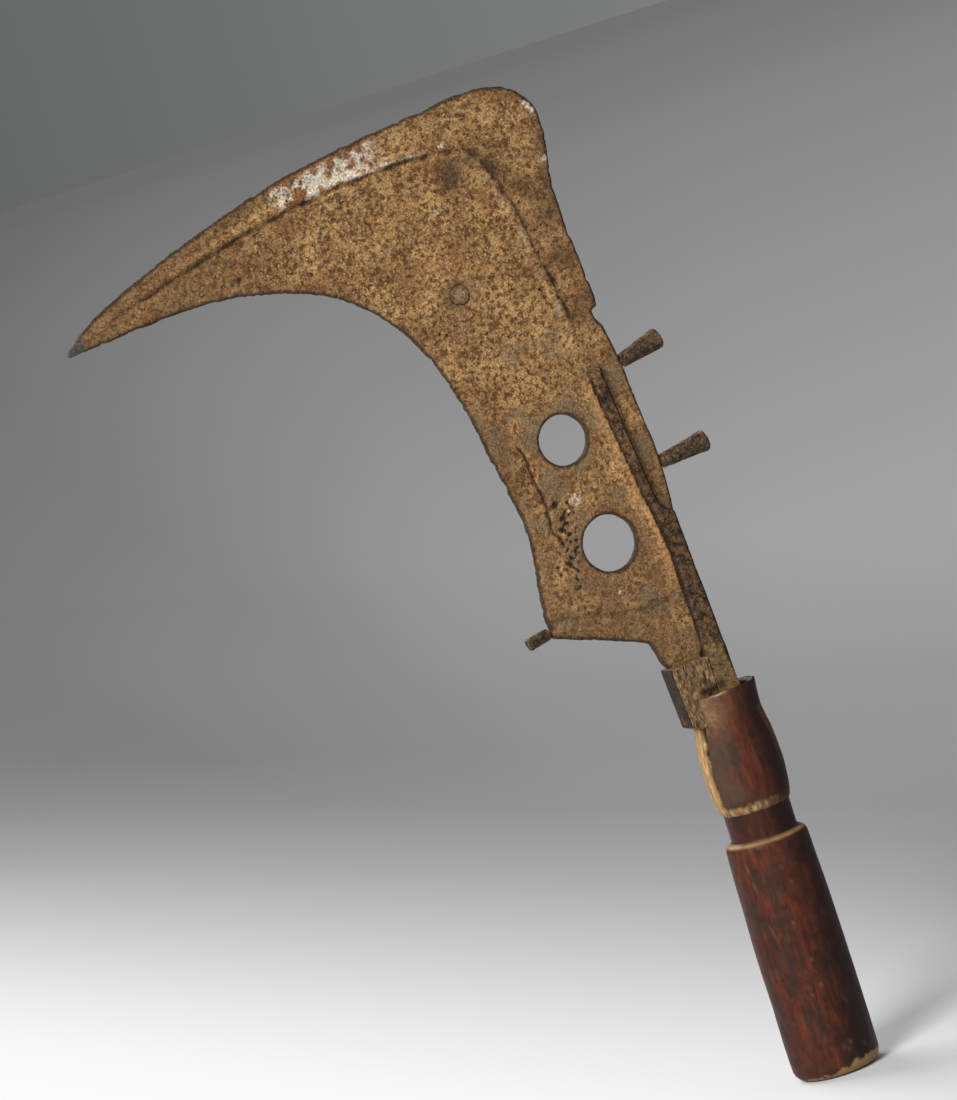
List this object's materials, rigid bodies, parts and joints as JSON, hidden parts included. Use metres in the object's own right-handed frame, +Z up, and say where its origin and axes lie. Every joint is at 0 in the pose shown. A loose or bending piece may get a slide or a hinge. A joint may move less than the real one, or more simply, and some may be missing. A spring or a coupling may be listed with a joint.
{
  "type": "hand sickle",
  "caption": "Forged hand sickle with a hooked, ridged blade, round holes and side studs, set by its tang in a turned wooden handle.",
  "frame": {"origin": "on the handle's axis, halfway along the straight stretch of the grip", "axes": "+Z up the handle towards the blade, +X towards the blade's back, the ridged front face looks to -Y"},
  "size_m": [0.2251, 0.0338, 0.3892],
  "materials": {
    "blade_iron": "forged, evenly rusted to a mottled ochre brown",
    "bar_iron": "forged, dark brown-black scale",
    "collar_iron": "forged, fibrous rusted surface",
    "stud_iron": "forged, dark brown rust",
    "handle_wood": "hand-worn polish over dark red-brown hardwood",
    "bedding_pitch": "hard dark pitch"
  },
  "bodies": {
    "root": {"handle": "handle_wood", "bedding": "bedding_pitch", "tang_bar": "bar_iron", "tang_collar": "collar_iron", "blade": "blade_iron", "plug": "stud_iron", "upper_back_stud": "stud_iron", "lower_back_stud": "stud_iron", "toe_stud": "stud_iron"}
  },
  "joints": []
}
